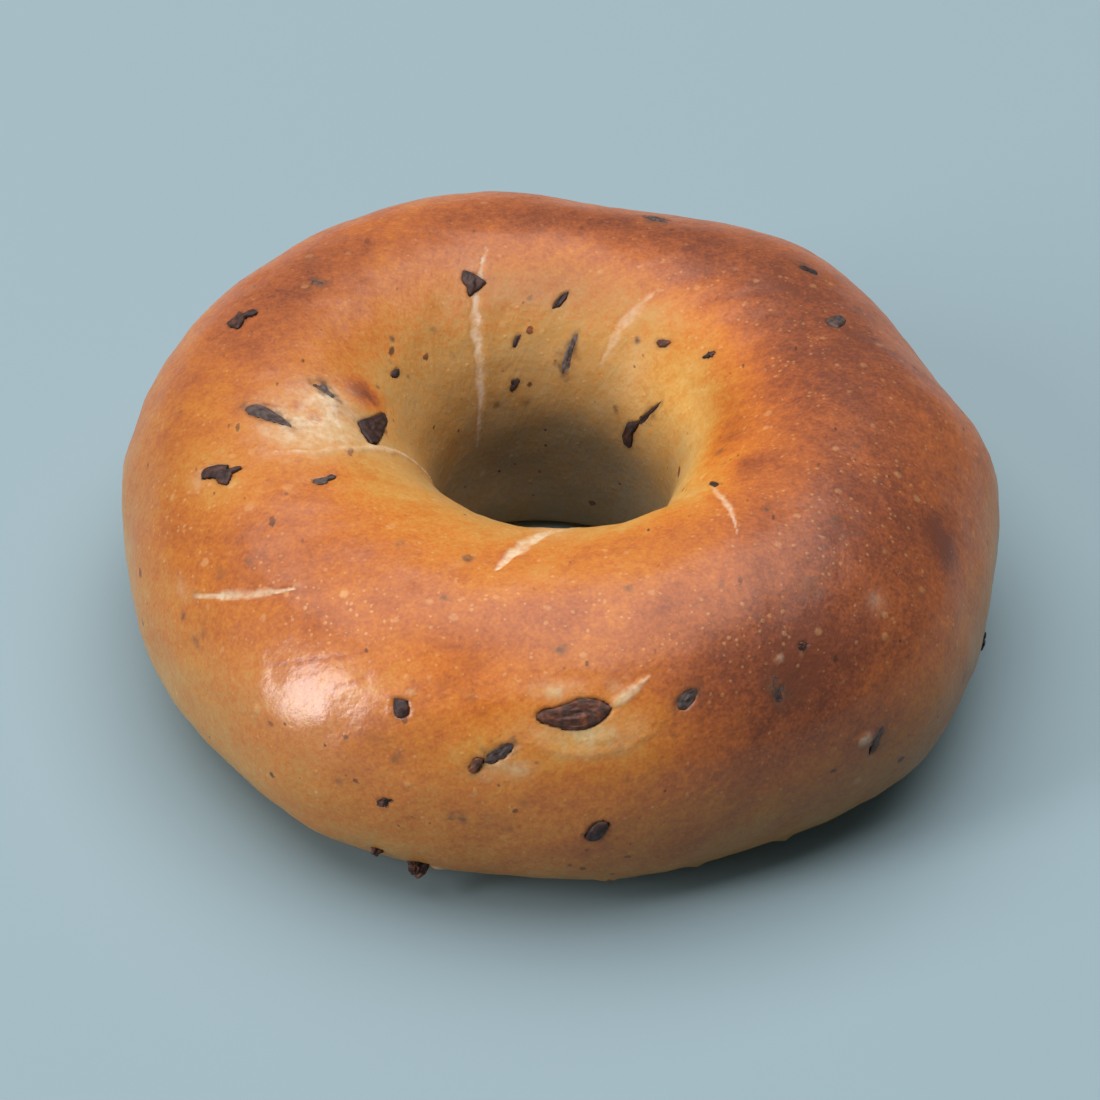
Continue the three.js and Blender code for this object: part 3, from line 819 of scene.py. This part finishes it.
class Finish:
    """A node material, built in a few words."""

    def __init__(self, name):
        self.material = bpy.data.materials.new(name)
        self.material.use_nodes = True
        self.tree = self.material.node_tree
        self.shader = self.tree.nodes["Principled BSDF"]

    def node(self, kind, out=0, settings=None, **inputs):
        node = self.tree.nodes.new(kind)
        for name, value in (settings or {}).items():
            setattr(node, name, value)
        for name, value in inputs.items():
            numbered = name[0] == "i" and name[1:].isdigit()
            self.join(value, node.inputs[int(name[1:]) if numbered else name.replace("_", " ")])
        return node.outputs[out]

    def join(self, value, socket):
        if isinstance(value, bpy.types.NodeSocket):
            self.tree.links.new(value, socket)
        else:
            socket.default_value = value

    def field(self, name, out="Fac"):
        return self.node("ShaderNodeAttribute", out, {"attribute_name": name})

    def place(self):
        return self.node("ShaderNodeTexCoord", "Object")

    def math(self, operation, *values, clamp=False):
        inputs = {f"i{i}": value for i, value in enumerate(values)}
        settings = {"operation": operation, "use_clamp": clamp}
        return self.node("ShaderNodeMath", 0, settings, **inputs)

    def between(self, value, low, high, start=0.0, end=1.0):
        """Value from low..high to start..end, smoothly and no further."""
        settings = {"interpolation_type": "SMOOTHSTEP"}
        return self.node("ShaderNodeMapRange", 0, settings, Value=value,
                         From_Min=low, From_Max=high, To_Min=start, To_Max=end)

    def stir(self, value, noise, amount, clamp=False):
        """Value moved up and down by amount times the noise's distance from its middle."""
        off_middle = self.math("SUBTRACT", noise, 0.5)
        return self.math("MULTIPLY_ADD", off_middle, amount, value, clamp=clamp)

    def noise(self, grain, detail):
        """Noise whose lumps are about grain across, in mm on Object coordinates."""
        return self.node("ShaderNodeTexNoise", "Fac", Vector=self.place(),
                         Scale=1000 / grain, Detail=detail)

    def along_roll(self, scale, detail, roughness):
        """Noise that is drawn out along the twist of the rolled dough."""
        return self.node("ShaderNodeTexNoise", "Fac", {"noise_dimensions": "4D"},
                         Vector=self.field("grain", "Vector"), W=self.field("grain_turn"),
                         Scale=scale, Detail=detail, Roughness=roughness)

    def bump(self, height, strength, distance):
        return self.node("ShaderNodeBump", 0, Height=height, Strength=strength, Distance=distance)

    def blend(self, share, first, second, kind="MIX"):
        mix = self.tree.nodes.new("ShaderNodeMix")
        mix.data_type = "RGBA"
        mix.blend_type = kind
        self.join(share, mix.inputs[0])
        self.join(first, mix.inputs[6])
        self.join(second, mix.inputs[7])
        return mix.outputs[2]

    def ramp(self, value, stops):
        node = self.tree.nodes.new("ShaderNodeValToRGB")
        bands = node.color_ramp.elements
        while len(bands) < len(stops):
            bands.new(0.5)
        for band, (position, colour) in zip(bands, stops):
            band.position = position
            band.color = (*colour, 1)
        self.join(value, node.inputs["Fac"])
        return node.outputs["Color"]

    def set(self, **inputs):
        for name, value in inputs.items():
            self.join(value, self.shader.inputs[name.replace("_", " ")])


# Colours from the least to the most baked, where the crust is brown and where it is golden.
BROWN_BAKE = [
    (0.00, (0.50, 0.310, 0.130)), (0.22, (0.54, 0.275, 0.080)), (0.45, (0.57, 0.190, 0.035)),
    (0.65, (0.44, 0.125, 0.037)), (0.85, (0.285, 0.079, 0.031)), (1.00, (0.18, 0.052, 0.027)),
]
GOLDEN_BAKE = [
    (0.00, (0.72, 0.42, 0.120)), (0.30, (0.62, 0.275, 0.050)), (0.55, (0.56, 0.155, 0.019)),
    (0.85, (0.31, 0.072, 0.020)),
]
BLISTER = (0.76, 0.44, 0.19, 1)
DARK_CHIP, RED_CHIP = (0.075, 0.032, 0.022, 1), (0.21, 0.065, 0.028, 1)
CREAM_DOUGH, TAN_DOUGH = (0.77, 0.56, 0.39, 1), (0.60, 0.43, 0.21, 1)
FRUIT_STAIN, SEAT_SHADE = (0.125, 0.066, 0.040, 1), (0.11, 0.055, 0.035, 1)
# The bluish grey that the painted shade multiplies the crust's colour by.
PAINTED_SHADE_TINT = (0.375, 0.465, 0.70, 1)
# Flesh of the fruit from its hollows to its folds, and the dry skin on it.
BLACK_FLESH = [
    (0.30, (0.012, 0.007, 0.009)), (0.55, (0.030, 0.015, 0.016)), (0.75, (0.075, 0.032, 0.026)),
]
RED_FLESH = [
    (0.30, (0.030, 0.010, 0.007)), (0.50, (0.090, 0.028, 0.014)), (0.70, (0.22, 0.065, 0.028)),
]
DRY_SKIN = (0.19, 0.15, 0.135, 1)


def cells_of(f, place, cell):
    """Cells about cell across, in mm: the distance to the middle, in mm, and two random values."""
    cells = f.tree.nodes.new("ShaderNodeTexVoronoi")
    f.join(place, cells.inputs["Vector"])
    cells.inputs["Scale"].default_value = 1000 / cell
    distance = f.math("MULTIPLY", cells.outputs["Distance"], cell)
    chance = f.node("ShaderNodeSeparateColor", 0, Color=cells.outputs["Color"])
    size = f.node("ShaderNodeSeparateColor", 1, Color=cells.outputs["Color"])
    return distance, chance, size


def domes(f, place, cell, share, smallest, largest):
    """Little round domes, in the share of the cells given: 0 at their edge to 1 on top."""
    distance, chance, size = cells_of(f, place, cell)
    radius = f.math("MULTIPLY_ADD", size, largest - smallest, smallest)
    distance = f.stir(distance, f.noise(0.4, 2.0), smallest)
    dome = f.math("SUBTRACT", 1.0, f.math("DIVIDE", distance, radius), clamp=True)
    dome = f.math("MULTIPLY", dome, f.math("MULTIPLY_ADD", size, 0.6, 0.4))
    return f.math("MULTIPLY", dome, f.math("LESS_THAN", chance, share))


def flecks(f, place, cell, share, smallest, largest, ragged):
    """Chips of fruit skin with ragged edges, in the share of the cells given."""
    distance, chance, size = cells_of(f, place, cell)
    radius = f.math("MULTIPLY_ADD", size, largest - smallest, smallest)
    inside = f.math("SUBTRACT", radius, f.stir(distance, f.noise(0.45, 3.0), ragged))
    chip = f.math("MULTIPLY", f.between(inside, -0.04, 0.14), f.math("LESS_THAN", chance, share))
    return f.math("MULTIPLY", chip, f.math("MULTIPLY_ADD", size, 0.55, 0.4))


def bake_of(f, mottle):
    """How baked the crust is: streaked along the roll, mottled and dusty."""
    streak_weight = f.math("MULTIPLY_ADD", f.field("gold"), 0.28, 0.34)
    bake = f.stir(f.field("bake"), f.along_roll(0.16, 5.0, 0.6), streak_weight)
    bake = f.stir(bake, mottle, 0.34)
    bake = f.stir(bake, f.noise(1.1, 5.0), 0.36)
    return f.stir(bake, f.noise(0.42, 3.0), 0.42, clamp=True)


def blister_domes(f, place):
    """Tiny blisters, in two sizes and in crowds: 0 between them to 1 on top."""
    share = f.math("MULTIPLY_ADD", f.field("blisters"), 0.9, 0.20)
    share = f.math("MULTIPLY", share, f.between(f.noise(4, 2.0), 0.35, 0.62, 0.25, 1.0))
    fine = domes(f, place, 0.75, f.math("MULTIPLY", share, 0.8), 0.14, 0.34)
    wide = domes(f, place, 2.4, f.math("MULTIPLY", share, 0.9), 0.30, 0.80)
    return f.math("MAXIMUM", fine, wide)


def with_blisters(f, colour, dome, bake):
    """Each blister is paler, the more so where there are many and where the bake is light."""
    contrast = f.math("MULTIPLY_ADD", bake, -0.24, 0.40)
    crowded = f.math("MULTIPLY_ADD", f.field("blisters"), 0.9, 0.85)
    contrast = f.math("MULTIPLY", contrast, crowded)
    share = f.math("MULTIPLY", f.between(dome, 0.0, 0.42), contrast)
    return f.blend(share, colour, BLISTER)


def with_chips(f, colour, place):
    """Dark flecks of fruit skin, the small ones everywhere."""
    stretched = f.node("ShaderNodeMapping", 0, Vector=place, Rotation=(0.6, 0.4, 0.8),
                       Scale=(1.0, 0.45, 1.0))
    large = flecks(f, stretched, 3.4, 0.75, 0.16, 0.50, 0.5)
    small = flecks(f, stretched, 1.8, 0.60, 0.08, 0.24, 0.3)
    chip = f.blend(f.between(f.noise(3, 1.0), 0.4, 0.6), DARK_CHIP, RED_CHIP)
    return f.blend(f.math("MAXIMUM", large, small), colour, chip)


def with_marks(f, colour, crumbs):
    """Pale dough in the tears, fruit stains, painted shade in the seats and painted shade where light falls
    off.
    """
    pale = f.math("MULTIPLY", f.field("pale"), f.between(crumbs, 0.25, 0.65, 0.45, 1.0))
    pale = f.math("MULTIPLY", pale, f.between(f.noise(2.2, 3.0), 0.35, 0.6, 0.55, 1.0))
    dough = f.blend(f.field("gold"), CREAM_DOUGH, TAN_DOUGH)
    colour = f.blend(pale, colour, dough)
    patchy = f.between(f.noise(1.3, 3.0), 0.3, 0.7, 0.2, 0.85)
    colour = f.blend(f.math("MULTIPLY", f.field("stain"), patchy), colour, FRUIT_STAIN)
    # Painted shade in the seats, where the crust sinks under the fruit.
    colour = f.blend(f.field("pocket"), colour, SEAT_SHADE)
    # Painted shade: the crust's colour darkened where the painted shade field is set.
    return f.blend(f.field("dim"), colour, PAINTED_SHADE_TINT, "MULTIPLY")


def skin_height(f, dome, crumbs):
    """The skin is finely pebbled, with creases along the roll, blisters and crumbs."""
    creases = f.along_roll(0.7, 4.0, 0.65)
    height = f.math("MULTIPLY_ADD", creases, 0.9, f.math("MULTIPLY", f.noise(0.75, 3.0), 1.3))
    height = f.math("MULTIPLY_ADD", dome, 0.8, height)
    return f.math("MULTIPLY_ADD", f.field("pale"), f.math("MULTIPLY", crumbs, 0.9), height)


def baked_crust_finish():
    """Boiled and baked crust: tan to red-brown, streaked along the roll, with tiny blisters."""
    f = Finish("baked_crust")
    place = f.place()
    mottle, crumbs = f.noise(6, 4.0), f.noise(0.8, 4.0)
    bake = bake_of(f, mottle)
    colour = f.blend(f.field("gold"), f.ramp(bake, BROWN_BAKE), f.ramp(bake, GOLDEN_BAKE))
    dome = blister_domes(f, place)
    colour = with_blisters(f, colour, dome, bake)
    colour = with_chips(f, colour, place)
    colour = with_marks(f, colour, crumbs)

    height = skin_height(f, dome, crumbs)
    peel = f.math("MULTIPLY_ADD", f.noise(0.9, 2.0), 1.2, f.math("MULTIPLY", f.noise(0.3, 2.0), 0.3))
    peel = f.math("MULTIPLY_ADD", height, 0.2, peel)
    roughness = f.stir(0.46, mottle, 0.25)
    roughness = f.math("MULTIPLY_ADD", f.field("pale"), 0.3, roughness)
    f.set(Base_Color=colour, Roughness=roughness, Normal=f.bump(height, 0.75, 0.11 * MM),
          Subsurface_Weight=0.10, Subsurface_Radius=(1.0, 0.45, 0.2), Subsurface_Scale=0.8 * MM,
          Specular_IOR_Level=0.12, Coat_Weight=f.field("gloss"), Coat_Roughness=0.25,
          Coat_IOR=1.7, Coat_Normal=f.bump(peel, 0.38, 0.10 * MM))
    return f.material


def dried_fruit_finish():
    """Dried berry: near black, red-brown on its folds, with grey dry skin on some bits."""
    f = Finish("dried_berry")
    folds = f.noise(0.8, 4.0)
    redness = f.stir(f.field("red"), f.noise(1.9, 2.0), 1.0, clamp=True)
    colour = f.blend(redness, f.ramp(folds, BLACK_FLESH), f.ramp(folds, RED_FLESH))
    veins = f.between(f.noise(0.7, 4.0), 0.35, 0.65, 0.25, 0.9)
    colour = f.blend(f.math("MULTIPLY", f.field("grey"), veins), colour, DRY_SKIN)
    f.set(Base_Color=colour, Roughness=f.between(folds, 0.3, 0.7, 0.6, 0.4),
          Normal=f.bump(f.noise(0.35, 3.0), 0.3, 0.08 * MM), Specular_IOR_Level=0.25)
    return f.material


# ---------------------------------------------------------------- putting it together

set_up_camera()
set_up_studio()
fruit_nodes = [node for name, node in sorted(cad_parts.items()) if name.startswith("fruit_")]
crust = make_dough(fruit_nodes)
smooth_crust = tree_of(crust)
fruit = [measure(node, smooth_crust, order) for order, node in enumerate(fruit_nodes)]
work_crust(crust, fruit)
only(crust)
bpy.ops.object.shade_smooth()
crust.data.materials.append(baked_crust_finish())
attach(crust, "root")
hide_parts("dough_ring")

berry = dried_fruit_finish()
for bit in fruit:
    piece = make_bit(bit, smooth_crust)
    piece.data.materials.append(berry)
    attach(piece, "root")
    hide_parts(bit["node"].name)
